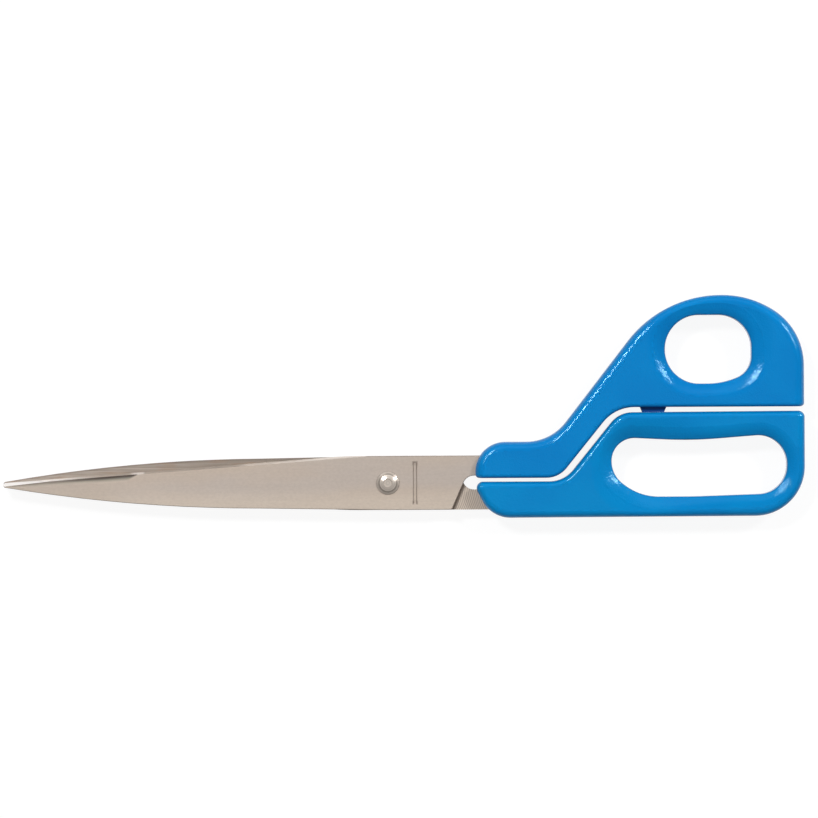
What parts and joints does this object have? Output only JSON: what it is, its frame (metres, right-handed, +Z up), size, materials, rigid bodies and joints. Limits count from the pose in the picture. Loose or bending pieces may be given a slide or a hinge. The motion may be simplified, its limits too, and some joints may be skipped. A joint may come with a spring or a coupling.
{
  "type": "office scissors",
  "caption": "Long office shears with bevelled steel blades on a riveted pivot, bent plastic handles with a thumb bow and a wide finger bow, and a stop buffer between them.",
  "frame": {"origin": "under the middle of the closed scissors, on the plane that the handles lie on", "axes": "+X from the points to the handles, +Y from the finger bow to the thumb bow, +Z up, out of the front blade's outer face"},
  "size_m": [0.2802, 0.0776, 0.01],
  "materials": {
    "blade_steel": "brushed lengthwise, ground bevels",
    "rivet_steel": "satin",
    "handle_plastic": "glossy, with a fine moulded grain",
    "buffer_plastic": "satin"
  },
  "bodies": {
    "finger_half": {"rear_blade": "blade_steel", "finger_handle": "handle_plastic", "pivot_rivet": "rivet_steel", "rivet_washer": "rivet_steel"},
    "thumb_half": {"front_blade": "blade_steel", "thumb_handle": "handle_plastic", "stop_buffer": "buffer_plastic"}
  },
  "joints": [
    {"name": "pivot", "type": "hinge", "parent": "finger_half", "child": "thumb_half", "pos_m": [-0.00565, -0.0264, 0.005], "axis": [0, 0, 1], "range_deg": [0, 145]}
  ]
}
